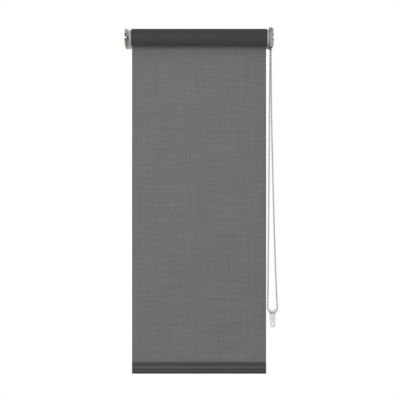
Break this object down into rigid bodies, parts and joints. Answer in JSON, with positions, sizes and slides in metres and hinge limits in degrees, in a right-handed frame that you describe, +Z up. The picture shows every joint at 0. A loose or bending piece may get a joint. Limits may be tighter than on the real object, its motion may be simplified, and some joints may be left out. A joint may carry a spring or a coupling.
{
  "type": "roller blind",
  "caption": "Dark grey cloth roller blind with metal end brackets, a braked clutch worked by an endless bead chain, a clear chain tensioner and a weighted bottom rail",
  "frame": {"origin": "on the wall plane, midway between the two brackets, at the height of the roller's axis", "axes": "+X along the roller to the chain side, +Y into the wall, +Z up"},
  "size_m": [0.3854, 0.057, 0.8753],
  "materials": {
    "bracket_metal": "satin light grey",
    "tube_metal": "mill finish",
    "rail_metal": "satin dark grey paint",
    "rail_cap": "moulded dark grey",
    "steel": "bright zinc",
    "bead_metal": "nickel plate",
    "grey_plastic": "moulded light grey",
    "dark_plastic": "moulded black",
    "clear_plastic": "clear moulded",
    "cloth": "woven dark grey slub",
    "tape": "adhesive tape"
  },
  "bodies": {
    "root": {"bracket_left": "bracket_metal", "bracket_right": "bracket_metal", "clutch_spindle": "dark_plastic", "spindle_washer": "steel", "spindle_screw": "steel", "brake_spring_1": "steel", "brake_spring_2": "steel", "chain_guard_inner": "grey_plastic", "chain_guard_outer": "grey_plastic", "chain_over_wheel": "bead_metal", "hanging_fabric": "cloth"},
    "roller": {"roller_tube": "tube_metal", "wound_fabric": "cloth", "fabric_tape": "tape", "idle_plug": "grey_plastic", "idle_bush": "dark_plastic", "idle_spring": "steel", "drive_sleeve": "grey_plastic", "chain_wheel": "dark_plastic"},
    "rail": {"bottom_rail": "rail_metal", "rail_spline": "dark_plastic", "end_cap_left": "rail_cap", "end_cap_right": "rail_cap"},
    "pin": {"idle_pin": "steel"},
    "chain": {"bead_chain": "bead_metal"},
    "tensioner": {"tensioner_front": "clear_plastic", "tensioner_back": "clear_plastic"}
  },
  "joints": [
    {"name": "roller_turn", "type": "hinge", "parent": "root", "child": "roller", "pos_m": [0, -0.032, 0], "axis": [1, 0, 0], "range_deg": [0, 2025], "deforming": ["chain_over_wheel"]},
    {"name": "blind_travel", "type": "slide", "parent": "root", "child": "rail", "axis": [0, 0, 1], "range_m": [0, 0.7776], "deforming": ["hanging_fabric"]},
    {"name": "idle_pin_slide", "type": "slide", "parent": "root", "child": "pin", "axis": [1, 0, 0], "range_m": [0, 0.006], "stiffness_N_per_m": 400, "springref_m": -0.004, "deforming": ["idle_spring"]},
    {"name": "chain_swing", "type": "hinge", "parent": "root", "child": "chain", "pos_m": [0.1797, -0.032, -0.029], "axis": [0, 1, 0], "range_deg": [-15, 15]},
    {"name": "tensioner_swing", "type": "hinge", "parent": "chain", "child": "tensioner", "pos_m": [0.1845, -0.032, -0.6807], "axis": [0, 1, 0], "range_deg": [-20, 20]}
  ],
  "couplings": [
    {"joint": "blind_travel", "follows": "roller_turn", "m_per_rad": 0.022}
  ]
}
